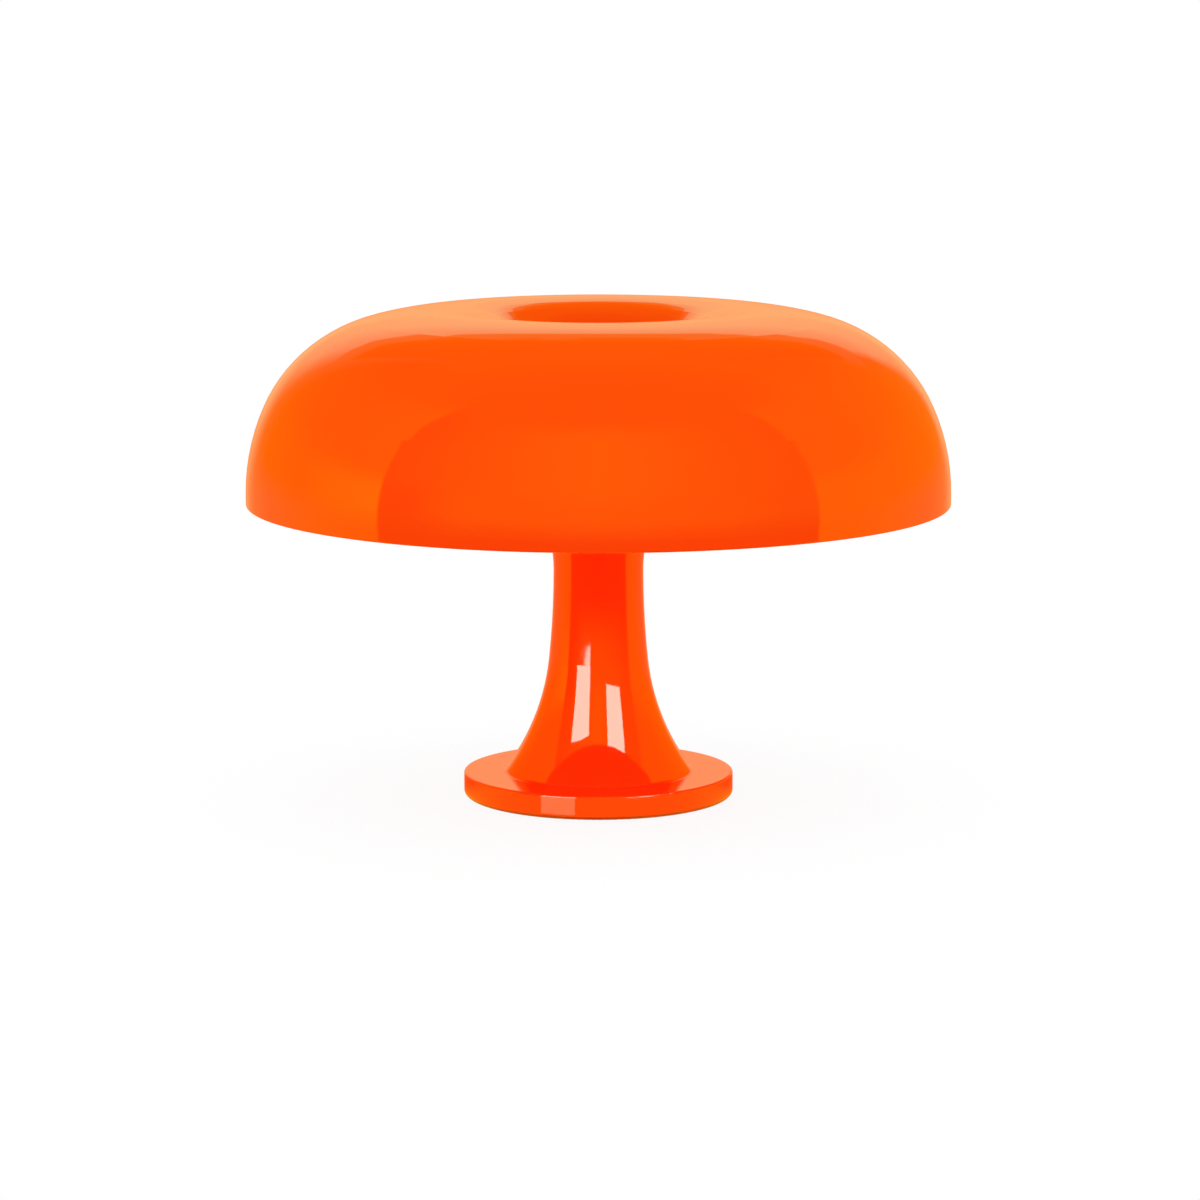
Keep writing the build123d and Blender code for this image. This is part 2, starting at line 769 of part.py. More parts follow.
def shell_outline():
    """Outline of the threaded shell inside a lampholder."""
    thread_line(shell_thread)
    Polyline(
        (thread_end, shell_thread),
        (thread_end, shell_radius),
        (shell_start, shell_radius),
        (shell_start, shell_thread),
        (cap_start, shell_thread),
    )


def holder_contact_outline():
    """Outline of the centre contact of a lampholder: a disc with a round nub toward the bulb."""
    front = contact_seat + contact_thickness
    nub_tip = (front + contact_nub_height, 0)
    TangentArc(nub_tip, (front, contact_nub), tangent=(0, 1))
    Polyline(
        (front, contact_nub),
        (front, contact_radius),
        (contact_seat, contact_radius),
        (contact_seat, 0),
        nub_tip,
    )


# Bulbs
neck_end = neck_start + neck_length
blend_turn = degrees(acos((neck_radius + neck_blend) / (globe_radius + neck_blend)))
globe_centre = neck_end + (globe_radius + neck_blend) * sin(radians(blend_turn))
bulb_tip = globe_centre + globe_radius
filament_end = bulb_tip - filament_room


def glass_line(inset):
    """Draws a bulb glass in section, inset inside its outer face, from the neck to the tip."""
    start = (neck_start, neck_radius - inset)
    neck = Line(start, (neck_end, neck_radius - inset))
    blend = JernArc(neck @ 1, neck % 1, neck_blend + inset, blend_turn)
    JernArc(blend @ 1, blend % 1, globe_radius - inset, -blend_turn - 90)
    return start, (bulb_tip - inset, 0)


def globe_outline():
    """Outline of the hollow glass of a bulb."""
    outer_start, outer_tip = glass_line(0.0)
    inner_start, inner_tip = glass_line(glass_wall)
    Line(outer_start, inner_start)
    Line(outer_tip, inner_tip)


def cap_outline():
    """Outline of the screw cap of a bulb, with the skirt that holds the glass neck."""
    cone_start = thread_end + cap_plain
    cone_end = cone_start + skirt_step
    thread_line(cap_thread)
    Polyline(
        (thread_end, cap_thread),
        (cone_start, cap_thread),
        (cone_end, skirt_radius),
        (skirt_end, skirt_radius),
        (skirt_end, skirt_bore),
        (cone_end, skirt_bore),
        (cone_start, cap_bore),
        (cap_start, cap_bore),
        (cap_start, cap_thread),
    )


def insulator_outline():
    """Outline of the insulator at the end of a bulb cap."""
    Polyline(
        (insulator_back, 0),
        (insulator_back, insulator_back_radius),
        (cap_start, insulator_radius),
        (insulator_front, insulator_radius),
        (insulator_front, 0),
        close=True,
    )


def pip_outline():
    """Outline of the rounded end contact of a bulb."""
    TangentArc((pip_start, 0), (insulator_back, pip_radius), tangent=(0, 1))
    Polyline((insulator_back, pip_radius), (insulator_back, 0), (pip_start, 0))


def mount_outline():
    """Outline of the glass mount that carries the filaments."""
    Polyline(
        (mount_foot, 0),
        (mount_foot, mount_foot_radius),
        (mount_foot + mount_foot_height, mount_foot_radius),
        (mount_foot + mount_cone_height, mount_root_radius),
        (mount_end, mount_tip_radius),
        (mount_end, 0),
        close=True,
    )


def filament_cage(angle):
    """Four filament sticks held by a cross of support wire at each end."""
    outward = (*polar_point(1, angle), 0)
    support_length = 2 * (filament_ring + filament_radius)
    with BuildPart() as piece:
        for start in (mount_end, filament_end):
            cross_centre = (*polar_point(start, angle), bulb_height)
            with BuildSketch(Plane(origin=cross_centre, x_dir=(0, 0, 1), z_dir=outward)):
                Rectangle(support_length, support_width)
                Rectangle(support_width, support_length)
            extrude(amount=support_thickness)
        stick_start = (*polar_point(mount_end, angle), bulb_height)
        with BuildSketch(Plane(origin=stick_start, x_dir=(0, 0, 1), z_dir=outward)):
            with PolarLocations(filament_ring, 4):
                Circle(filament_radius)
        extrude(amount=filament_end + support_thickness - mount_end)
    return piece


def lead(holder_angle, side, port, fan_start, fan_end, way_points=()):
    """One lead: up from its port, through the centre tube and out to its terminal."""
    ring_point = polar_point(lead_ring, holder_angle + side * lead_spread)
    outward = Vector(*polar_point(1, holder_angle))
    across = Vector(*polar_point(side * terminal_offset, holder_angle + 90))
    corner = outward * lead_corner + across
    end = outward * lead_end + across
    points = [
        (*port, splice_top - lead_in_port),
        (*port, fan_end),
        *way_points,
        (*ring_point, fan_start),
        (*ring_point, bulb_height),
        (corner.X, corner.Y, bulb_height),
        (end.X, end.Y, bulb_height),
    ]
    low_bends = [lead_low_bend] * (len(points) - 4)
    with BuildPart() as piece:
        with BuildLine():
            path = FilletPolyline(*points, radius=[*low_bends, lead_top_bend, lead_end_bend])
        with BuildSketch(Plane(origin=path @ 0, z_dir=path % 0)):
            Circle(lead_radius)
        sweep(path=path)
    return piece


def holder_leads(angle):
    """The two leads of a lampholder, one to each pole. Opposite sides have the same routes, half turned."""
    half = 1 if angle in (90.0, 180.0) else -1
    near = -half * port_pitch
    far = -2 * half * port_pitch
    pole = half * splice_offset
    around = (-half * around_out, half * around_side, high_fan - around_drop)
    if angle in (90.0, 270.0):
        first = lead(angle, -1, (near, pole), middle_fan, middle_fan - fan_drop)
        second = lead(angle, 1, (far, -pole), high_fan, high_fan - around_end_drop, (around,))
    else:
        first = lead(angle, -1, (far, pole), low_fan, low_fan - fan_drop)
        second = lead(angle, 1, (near, -pole), low_fan, low_fan - fan_drop)
    with BuildPart() as piece:
        add(first.part)
        add(second.part)
    return piece


pieces = {
    "stem_base": stem_base,
    "ballast": ballast,
    "bottom_cover": bottom_cover,
    "cover_screws": cover_screws,
    "foot_pads": foot_pads,
    "cord_gland": cord_gland,
    "splice_connectors": splice_connectors,
    "centre_tube": centre_tube,
    "lower_washer": lower_washer,
    "lower_nut": lower_nut,
    "upper_washer": upper_washer,
    "upper_nut": upper_nut,
    "hub_base": hub_base,
    "hub_ring": hub_ring,
    "hub_cap": hub_cap,
    "hub_screws": hub_screws,
    "seat_ring": seat_ring,
    "shade": shade,
}
for number, angle in enumerate(bulb_angles, start=1):
    pieces[f"lampholder_{number}"] = lampholder(angle)
    pieces[f"holder_shell_{number}"] = turned_piece(angle, shell_outline)
    pieces[f"holder_contact_{number}"] = turned_piece(angle, holder_contact_outline)
    pieces[f"holder_leads_{number}"] = holder_leads(angle)
    pieces[f"bulb_globe_{number}"] = turned_piece(angle, globe_outline)
    pieces[f"bulb_cap_{number}"] = turned_piece(angle, cap_outline)
    pieces[f"bulb_insulator_{number}"] = turned_piece(angle, insulator_outline)
    pieces[f"bulb_contact_{number}"] = turned_piece(angle, pip_outline)
    pieces[f"bulb_mount_{number}"] = turned_piece(angle, mount_outline)
    pieces[f"bulb_filaments_{number}"] = filament_cage(angle)

os.makedirs("parts", exist_ok=True)
for name, piece in pieces.items():
    piece.part.label = name
    export_step(piece.part, f"parts/{name}.step")
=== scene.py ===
from math import cos, pi, radians, sin, tan

import bpy
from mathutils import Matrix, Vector

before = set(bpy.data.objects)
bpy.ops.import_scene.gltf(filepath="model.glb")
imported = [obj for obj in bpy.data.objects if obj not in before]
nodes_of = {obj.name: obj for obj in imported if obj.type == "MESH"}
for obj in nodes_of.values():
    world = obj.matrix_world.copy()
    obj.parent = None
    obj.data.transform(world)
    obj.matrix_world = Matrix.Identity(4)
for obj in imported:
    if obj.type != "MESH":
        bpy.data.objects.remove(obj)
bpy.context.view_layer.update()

scene = bpy.context.scene


# Node helpers

def link_or_set(tree, socket, value):
    """Connects an output to a socket, or writes a plain value on it."""
    if isinstance(value, bpy.types.NodeSocket):
        tree.links.new(value, socket)
    elif isinstance(value, tuple) and socket.type == "RGBA" and len(value) == 3:
        socket.default_value = (*value, 1.0)
    else:
        socket.default_value = value


def calc(tree, operation, *values):
    """One step of arithmetic on outputs or plain numbers."""
    node = tree.nodes.new("ShaderNodeMath")
    node.operation = operation
    for socket, value in zip(node.inputs, values):
        link_or_set(tree, socket, value)
    return node.outputs[0]


def rise(tree, value, low, high):
    """0 below low, 1 above high, smooth in between."""
    node = tree.nodes.new("ShaderNodeMapRange")
    node.interpolation_type = "SMOOTHSTEP"
    link_or_set(tree, node.inputs["Value"], value)
    node.inputs["From Min"].default_value = low
    node.inputs["From Max"].default_value = high
    return node.outputs["Result"]


def spread(tree, value, low, high, to_low, to_high):
    """Maps a value from one range to another, in a straight line."""
    node = tree.nodes.new("ShaderNodeMapRange")
    link_or_set(tree, node.inputs["Value"], value)
    ends = (("From Min", low), ("From Max", high), ("To Min", to_low), ("To Max", to_high))
    for name, number in ends:
        node.inputs[name].default_value = number
    return node.outputs["Result"]


def blend_colour(tree, factor, first, second):
    """The first colour at factor 0, the second at factor 1."""
    node = tree.nodes.new("ShaderNodeMix")
    node.data_type = "RGBA"
    factor_in, first_in, second_in = node.inputs[0], node.inputs[6], node.inputs[7]
    link_or_set(tree, factor_in, factor)
    link_or_set(tree, first_in, first)
    link_or_set(tree, second_in, second)
    colour_out = node.outputs[2]
    return colour_out


def noise(tree, place, scale, detail=2.0, roughness=0.5):
    """Noise in the piece's own coordinates, with its scale per metre."""
    node = tree.nodes.new("ShaderNodeTexNoise")
    node.inputs["Scale"].default_value = scale
    node.inputs["Detail"].default_value = detail
    node.inputs["Roughness"].default_value = roughness
    tree.links.new(place, node.inputs["Vector"])
    return node.outputs["Fac"]


def bump(tree, height, distance, before=None):
    """A bump of a depth in metres, on top of the one before it."""
    node = tree.nodes.new("ShaderNodeBump")
    node.inputs["Distance"].default_value = distance
    node.inputs["Strength"].default_value = 1.0
    tree.links.new(height, node.inputs["Height"])
    if before is not None:
        tree.links.new(before, node.inputs["Normal"])
    return node.outputs["Normal"]


def start_material(name, **values):
    """A material with its shader, whose even values are set on the shader's own sockets."""
    material = bpy.data.materials.new(name)
    material.use_nodes = True
    tree = material.node_tree
    shader = tree.nodes["Principled BSDF"]
    for socket, value in values.items():
        link_or_set(tree, shader.inputs[socket.replace("_", " ")], value)
    place = tree.nodes.new("ShaderNodeTexCoord").outputs["Object"]
    return material, tree, shader, place


def shift_colour(colour, factor):
    """A colour made brighter or darker, and kept between 0 and 1."""
    return tuple(min(1.0, max(0.0, part * factor)) for part in colour)


def varied_colour(tree, shader, place, colour, amount, scale):
    """A colour that drifts a little darker and lighter over the piece."""
    drift = spread(tree, noise(tree, place, scale, 3.0), 0.3, 0.7, 0.0, 1.0)
    darker = shift_colour(colour, 1 - amount)
    lighter = shift_colour(colour, 1 + amount)
    tree.links.new(blend_colour(tree, drift, darker, lighter), shader.inputs["Base Color"])


def varied_roughness(tree, shader, place, low, high, scale):
    """A roughness that drifts between two values over the piece."""
    grain = noise(tree, place, scale, 4.0, 0.6)
    tree.links.new(spread(tree, grain, 0.35, 0.65, low, high), shader.inputs["Roughness"])


# Materials. Noise scales are per metre and bump depths are in metres.

PLASTIC_IOR = 1.5
GLASS_IOR = 1.5


def orange_plastic(name, wave_size):
    """Glossy orange plastic, whose moulding waves a little, with a faint haze in its gloss."""
    orange = (0.955, 0.048, 0.002)
    wave_depth = 0.000004
    peel_depth = 0.0000015
    material, tree, shader, place = start_material(name, IOR=PLASTIC_IOR)
    varied_colour(tree, shader, place, orange, 0.012, 9.0)
    varied_roughness(tree, shader, place, 0.022, 0.042, 60.0)
    normal = bump(tree, noise(tree, place, 1 / wave_size, 1.0), wave_depth)
    normal = bump(tree, noise(tree, place, 900.0, 1.0), peel_depth, normal)
    tree.links.new(normal, shader.inputs["Normal"])
    return material


def satin_plastic(name, colour, low, high, grain_size=0.00035, depth=0.000012):
    """Moulded plastic with a fine spark-eroded grain, between two roughnesses."""
    material, tree, shader, place = start_material(name, IOR=PLASTIC_IOR)
    varied_colour(tree, shader, place, colour, 0.03, 45.0)
    varied_roughness(tree, shader, place, low, high, 180.0)
    grain = noise(tree, place, 1 / grain_size, 2.0, 0.6)
    tree.links.new(bump(tree, grain, depth), shader.inputs["Normal"])
    return material


def cast_iron(name):
    """Dark cast iron with a coarse skin and a few patches of rust."""
    dark, pale, rusty = (0.055, 0.053, 0.05), (0.13, 0.125, 0.12), (0.12, 0.055, 0.028)
    skin_depth, lump_depth = 0.00035, 0.0005
    material, tree, shader, place = start_material(name, Metallic=0.85)
    skin = noise(tree, place, 700.0, 5.0, 0.65)
    rust = rise(tree, noise(tree, place, 60.0, 5.0, 0.6), 0.56, 0.68)
    mixed = blend_colour(tree, rust, blend_colour(tree, skin, dark, pale), rusty)
    tree.links.new(mixed, shader.inputs["Base Color"])
    tree.links.new(spread(tree, skin, 0.3, 0.7, 0.5, 0.75), shader.inputs["Roughness"])
    normal = bump(tree, skin, skin_depth)
    normal = bump(tree, noise(tree, place, 140.0, 3.0), lump_depth, normal)
    tree.links.new(normal, shader.inputs["Normal"])
    return material


def powder_coat(name, colour):
    """Satin powder coat with a fine orange peel."""
    material, tree, shader, place = start_material(name, IOR=PLASTIC_IOR)
    varied_colour(tree, shader, place, colour, 0.1, 50.0)
    varied_roughness(tree, shader, place, 0.42, 0.55, 220.0)
    peel = noise(tree, place, 1500.0, 2.0, 0.5)
    tree.links.new(bump(tree, peel, 0.00004), shader.inputs["Normal"])
    return material


def plated_metal(name, colour, tarnish, low, high, depth=0.000004):
    """Plated or drawn metal with fine marks and patches of tarnish, between two roughnesses."""
    material, tree, shader, place = start_material(name, Metallic=1.0)
    marks = noise(tree, place, 900.0, 3.0, 0.6)
    stain = rise(tree, noise(tree, place, 130.0, 4.0, 0.6), 0.5, 0.72)
    tree.links.new(blend_colour(tree, stain, colour, tarnish), shader.inputs["Base Color"])
    tree.links.new(spread(tree, marks, 0.3, 0.7, low, high), shader.inputs["Roughness"])
    tree.links.new(bump(tree, marks, depth), shader.inputs["Normal"])
    return material


def rubber(name, colour):
    """Matt rubber with a fine grain."""
    material, tree, shader, place = start_material(name, IOR=PLASTIC_IOR)
    varied_colour(tree, shader, place, colour, 0.18, 160.0)
    varied_roughness(tree, shader, place, 0.68, 0.85, 400.0)
    grain = noise(tree, place, 2600.0, 3.0, 0.6)
    tree.links.new(bump(tree, grain, 0.00004), shader.inputs["Normal"])
    return material


def opal_glass(name):
    """White opal glass: a milky body with a clear gloss on top."""
    material, tree, shader, place = start_material(
        name, IOR=GLASS_IOR, Subsurface_Weight=0.35, Subsurface_Scale=0.002
    )
    shader.inputs["Subsurface Radius"].default_value = (1.0, 0.9, 0.75)
    varied_colour(tree, shader, place, (0.86, 0.85, 0.82), 0.025, 40.0)
    varied_roughness(tree, shader, place, 0.05, 0.09, 90.0)
    tree.links.new(bump(tree, noise(tree, place, 70.0, 1.0), 0.00006), shader.inputs["Normal"])
    return material


def clear_glass(name):
    """Clear glass with a slight wave."""
    material, tree, shader, place = start_material(name, IOR=GLASS_IOR, Transmission_Weight=1.0)
    varied_colour(tree, shader, place, (0.93, 0.96, 0.94), 0.02, 60.0)
    varied_roughness(tree, shader, place, 0.02, 0.05, 120.0)
    tree.links.new(bump(tree, noise(tree, place, 160.0, 1.0), 0.00004), shader.inputs["Normal"])
    return material


materials = {
    "shade_plastic": orange_plastic("shade_orange", 0.055),
    "stem_plastic": orange_plastic("stem_orange", 0.05),
    "ballast_iron": cast_iron("ballast_cast_iron"),
    "cover_paint": powder_coat("cover_black_coat", (0.018, 0.018, 0.019)),
    "fastener_steel": plated_metal(
        "zinc_plated_steel", (0.66, 0.65, 0.62), (0.5, 0.47, 0.4), 0.22, 0.4
    ),
    "pad_rubber": rubber("pad_dark_rubber", (0.03, 0.03, 0.031)),
    "gland_plastic": satin_plastic("gland_black_nylon", (0.02, 0.02, 0.021), 0.38, 0.5),
    "connector_plastic": satin_plastic("connector_nylon", (0.72, 0.7, 0.64), 0.3, 0.42),
    "hub_plastic": satin_plastic("hub_white_plastic", (0.78, 0.765, 0.72), 0.26, 0.4),
    "holder_plastic": satin_plastic("holder_white_plastic", (0.74, 0.72, 0.67), 0.18, 0.3),
    "contact_brass": plated_metal(
        "contact_brass_metal", (0.75, 0.52, 0.2), (0.5, 0.31, 0.11), 0.2, 0.36
    ),
    "lead_plastic": satin_plastic("lead_white_sleeve", (0.68, 0.66, 0.6), 0.35, 0.48),
    "opal_glass": opal_glass("opal_white_glass"),
    "cap_metal": plated_metal(
        "cap_nickel_metal", (0.68, 0.65, 0.6), (0.52, 0.47, 0.38), 0.18, 0.34
    ),
    "insulator_glass": satin_plastic(
        "insulator_black_glass", (0.012, 0.009, 0.014), 0.08, 0.16, 0.0006, 0.00003
    ),
    "solder_metal": plated_metal(
        "contact_solder", (0.62, 0.62, 0.6), (0.42, 0.41, 0.39), 0.3, 0.5, 0.00003
    ),
    "clear_glass": clear_glass("mount_clear_glass"),
    "filament_coating": satin_plastic(
        "filament_yellow_coating", (0.8, 0.52, 0.08), 0.4, 0.55, 0.0002, 0.00002
    ),
}

for node in nodes_of.values():
    for slot in node.material_slots:
        slot.material = materials[slot.material.name]


# Camera, at the photo's angle and distance

CAMERA_PITCH = 9.156

camera_data = bpy.data.cameras.new("camera")
camera = bpy.data.objects.new("camera", camera_data)
scene.collection.objects.link(camera)
camera_data.sensor_width = 36.0
camera_data.lens = 126.37
camera_data.clip_start = 0.01
camera_data.clip_end = 50.0
camera.location = (0.0007, -1.9, 0.3967)
camera.rotation_euler = (radians(90 - CAMERA_PITCH), 0.0, 0.0)
scene.camera = camera


# World. A camera ray and a ray through glass see plain white, and the light on the object is an
# even grey. A glossy ray sees the studio round the lamp: a pale wall behind it, pale sides,
# and a dimmer room in front and above, which give the gloss its bands.

LIGHT_LEVEL = 0.97
BRIGHTEST = 3.0
WALL = (1.1, 0.95, 0.42)
WALL_LOW = (1.1, 0.74, 0.30)
WALL_FAR = (1.05, 0.26, 0.08)
WALL_TOP = (1.1, 0.50, 0.08)
ROOM_TOP = (1.5, 0.66, 0.0)
ROOM_BEHIND = (1.3, 0.38, 0.0)
# Angles in degrees: heights above the horizon, and turns from the front
WALL_END = (25.0, 26.0)
WALL_TOP_END = (29.5, 31.0)
WALL_TURN = (146.0, 152.0)
ROOM_BEHIND_END = (35.0, 70.0)
RINGS_END = (45.0, 62.0)
LOW_RING_END = (8.0, 18.0)
FLOOR_RING_END = (-7.0, 2.0)
FAR_DIP = 7.0
FAR_REACH = (1.0, 15.0)

world = bpy.data.worlds.new("studio")
scene.world = world
world.use_nodes = True
sky = world.node_tree
sky.nodes.clear()
direction = sky.nodes.new("ShaderNodeSeparateXYZ")
sky.links.new(sky.nodes.new("ShaderNodeTexCoord").outputs["Generated"], direction.inputs[0])
x_out, y_out, z_out = direction.outputs
height_angle = calc(sky, "MULTIPLY", calc(sky, "ARCSINE", z_out), 180 / pi)
from_front = calc(sky, "ARCTAN2", x_out, calc(sky, "MULTIPLY", y_out, -1.0))
turn_angle = calc(sky, "MULTIPLY", from_front, 180 / pi)
turn_size = calc(sky, "ABSOLUTE", turn_angle)


def below(angle_low, angle_high):
    """1 below the first height, 0 above the second."""
    return calc(sky, "SUBTRACT", 1.0, rise(sky, height_angle, angle_low, angle_high))


def ring(*stops):
    """A ring of the studio: colours at angles from the front, the same on both sides."""
    ramp = sky.nodes.new("ShaderNodeValToRGB")
    sky.links.new(calc(sky, "DIVIDE", turn_size, 180.0), ramp.inputs["Fac"])
    elements = ramp.color_ramp.elements
    while len(elements) < len(stops):
        elements.new(0.5)
    for element, (angle, colour) in zip(elements, stops):
        element.position = angle / 180
        element.color = (*shift_colour(colour, 1 / BRIGHTEST), 1.0)
    brighter = sky.nodes.new("ShaderNodeVectorMath")
    brighter.operation = "SCALE"
    sky.links.new(ramp.outputs["Color"], brighter.inputs[0])
    brighter.inputs["Scale"].default_value = BRIGHTEST
    return brighter.outputs["Vector"]


# Below the horizon: dim in front, bright beside the lamp and paler behind it
floor_ring = ring(
    (0, (0.8, 0.12, 0.0)), (74.2, (0.7, 0.20, 0.0)), (75.2, (2.2, 1.3, 0.0)),
    (105, (2.0, 1.05, 0.04)), (132, (1.4, 0.55, 0.10)), (150, (1.2, 0.45, 0.10)),
    (161, (1.1, 0.52, 0.17)),
)
# Just above it: an even front, bright beside the lamp, a pale wall behind it
low_left = ring(
    (0, (1.4, 1.05, 0.0)), (45, (1.2, 0.90, 0.0)), (62, (0.9, 0.30, 0.0)),
    (74.2, (0.9, 0.26, 0.0)), (75.2, (2.6, 2.0, 0.0)), (95, (2.3, 1.4, 0.0)),
    (112, (1.8, 0.82, 0.0)), (140, (1.3, 0.46, 0.0)), (150, (1.15, 0.42, 0.03)),
    (161, WALL_LOW),
)
low_right = ring(
    (0, (1.4, 1.05, 0.0)), (45, (1.2, 0.84, 0.0)), (62, (1.0, 0.62, 0.0)),
    (74.2, (1.0, 0.60, 0.0)), (75.2, (2.5, 1.45, 0.0)), (95, (2.3, 1.2, 0.0)),
    (120, (1.6, 0.82, 0.0)), (140, (1.3, 0.52, 0.0)), (155, (1.15, 0.40, 0.02)),
    (161, WALL_LOW),
)
# Higher up: a lighter middle in front, softer sides
mid_left = ring(
    (0, (1.6, 1.30, 0.0)), (30, (1.5, 1.00, 0.0)), (50, (1.2, 0.70, 0.0)),
    (74.2, (0.9, 0.35, 0.0)), (75.2, (2.2, 1.1, 0.0)), (112, (1.7, 0.66, 0.0)),
    (143, (1.25, 0.42, 0.0)), (150, (1.1, 0.48, 0.06)), (159, WALL),
)
mid_right = ring(
    (0, (1.6, 1.30, 0.0)), (30, (1.5, 1.00, 0.0)), (50, (1.2, 0.75, 0.0)),
    (74.2, (0.9, 0.55, 0.0)), (75.2, (2.2, 1.05, 0.0)), (118, (1.7, 0.77, 0.0)),
    (143, (1.25, 0.52, 0.0)), (154, (1.1, 0.40, 0.02)), (159, WALL),
)

on_right = rise(sky, turn_angle, -1.0, 1.0)
low_ring = blend_colour(sky, on_right, low_left, low_right)
mid_ring = blend_colour(sky, on_right, mid_left, mid_right)
rings = blend_colour(sky, below(*LOW_RING_END), mid_ring, low_ring)
rings = blend_colour(sky, below(*FLOOR_RING_END), rings, floor_ring)

# Above the rings, and above the wall behind the lamp, the room begins
behind = rise(sky, turn_size, *WALL_TURN)
behind_high = calc(sky, "MULTIPLY", behind, below(*ROOM_BEHIND_END))
high_room = blend_colour(sky, behind_high, ROOM_TOP, ROOM_BEHIND)
seen = blend_colour(sky, below(*RINGS_END), high_room, rings)
above_wall = calc(sky, "SUBTRACT", 1.0, below(*WALL_END))
seen = blend_colour(sky, calc(sky, "MULTIPLY", behind, above_wall), seen, high_room)
over_wall = calc(sky, "SUBTRACT", below(*WALL_TOP_END), below(*WALL_END))
seen = blend_colour(sky, calc(sky, "MULTIPLY", behind, over_wall), seen, WALL_TOP)

# Straight behind the lamp the wall is further off and dimmer, where the gloss mirrors most
straight_back = sky.nodes.new("ShaderNodeVectorMath")
straight_back.operation = "DOT_PRODUCT"
sky.links.new(sky.nodes.new("ShaderNodeTexCoord").outputs["Generated"], straight_back.inputs[0])
straight_back.inputs[1].default_value = (0.0, cos(radians(FAR_DIP)), -sin(radians(FAR_DIP)))
off_back = calc(sky, "ARCCOSINE", straight_back.outputs["Value"])
off_back = calc(sky, "MULTIPLY", off_back, 180 / pi)
seen = blend_colour(sky, spread(sky, off_back, *FAR_REACH, 0.0, 1.0), WALL_FAR, seen)

ray = sky.nodes.new("ShaderNodeLightPath")
even_grey = (LIGHT_LEVEL, LIGHT_LEVEL, LIGHT_LEVEL)
shown = blend_colour(sky, ray.outputs["Is Glossy Ray"], even_grey, seen)
plain = calc(sky, "MAXIMUM", ray.outputs["Is Camera Ray"], ray.outputs["Is Transmission Ray"])
shown = blend_colour(sky, plain, shown, (1.0, 1.0, 1.0))
background = sky.nodes.new("ShaderNodeBackground")
sky.links.new(shown, background.inputs["Color"])
sky.links.new(background.outputs[0], sky.nodes.new("ShaderNodeOutputWorld").inputs[0])


# Floor: a pale table top that fades into the white backdrop and keeps a faint shadow. From
# below it is clear, so that the underside of the lamp shows.

FLOOR_HALF = 6
FLOOR_SHADE = (0.4, 0.4, 0.4)
FLOOR_SHOWN = (0.85, 0.85, 0.85)
FADE_START, FADE_END = 0.05, 0.22
WHITE_UNDER_LAMP = 0.92


def flat_sheet(name, corners, material, faces=None):
    """A sheet of the stage, of one face unless the faces are given."""
    mesh = bpy.data.meshes.new(name)
    mesh.from_pydata(corners, [], faces or [tuple(range(len(corners)))])
    mesh.materials.append(material)
    sheet = bpy.data.objects.new(name, mesh)
    scene.collection.objects.link(sheet)
    return sheet


floor_material = bpy.data.materials.new("floor_white")
floor_material.use_nodes = True
tree = floor_material.node_tree
floor_shader = tree.nodes["Principled BSDF"]
floor_shader.inputs["Roughness"].default_value = 0.8
floor_shader.inputs["Specular IOR Level"].default_value = 0.0
white = tree.nodes.new("ShaderNodeEmission")
ray = tree.nodes.new("ShaderNodeLightPath")
plain = calc(tree, "MAXIMUM", ray.outputs["Is Camera Ray"], ray.outputs["Is Transmission Ray"])
top_colour = blend_colour(tree, plain, FLOOR_SHADE, FLOOR_SHOWN)
tree.links.new(top_colour, floor_shader.inputs["Base Color"])
centre = tree.nodes.new("ShaderNodeVectorMath")
centre.operation = "LENGTH"
tree.links.new(tree.nodes.new("ShaderNodeTexCoord").outputs["Object"], centre.inputs[0])
faded = rise(tree, centre.outputs["Value"], FADE_START, FADE_END)
white_share = spread(tree, faded, 0.0, 1.0, WHITE_UNDER_LAMP, 1.0)
mixer = tree.nodes.new("ShaderNodeMixShader")
tree.links.new(calc(tree, "MULTIPLY", plain, white_share), mixer.inputs[0])
tree.links.new(floor_shader.outputs[0], mixer.inputs[1])
tree.links.new(white.outputs[0], mixer.inputs[2])
clear = tree.nodes.new("ShaderNodeBsdfTransparent")
two_sides = tree.nodes.new("ShaderNodeMixShader")
side = tree.nodes.new("ShaderNodeNewGeometry")
tree.links.new(side.outputs["Backfacing"], two_sides.inputs[0])
tree.links.new(mixer.outputs[0], two_sides.inputs[1])
tree.links.new(clear.outputs[0], two_sides.inputs[2])
tree.links.new(two_sides.outputs[0], tree.nodes["Material Output"].inputs[0])
floor_corners = [
    (-FLOOR_HALF, -FLOOR_HALF, 0), (FLOOR_HALF, -FLOOR_HALF, 0),
    (FLOOR_HALF, FLOOR_HALF, 0), (-FLOOR_HALF, FLOOR_HALF, 0),
]
floor = flat_sheet("floor", floor_corners, floor_material)
floor.visible_glossy = False


# Lamps. Turns are in degrees from the front, to the right.

def round_lamp(turn, reach, height):
    """A place beside the lamp's axis, at a turn in radians."""
    return (reach * sin(turn), -reach * cos(turn), height)


def lamp(name, place, target, width, height, power, colour=(1.0, 1.0, 1.0)):
    """A rectangular area lamp that faces a target point."""
    data = bpy.data.lights.new(name, "AREA")
    data.shape = "RECTANGLE"
    data.size = width
    data.size_y = height
    data.energy = power
    data.color = colour
    light = bpy.data.objects.new(name, data)
    scene.collection.objects.link(light)
    light.location = place
    light.rotation_mode = "QUATERNION"
    light.rotation_quaternion = (Vector(target) - Vector(place)).to_track_quat("-Z", "Y")
    light.visible_camera = False
    return light


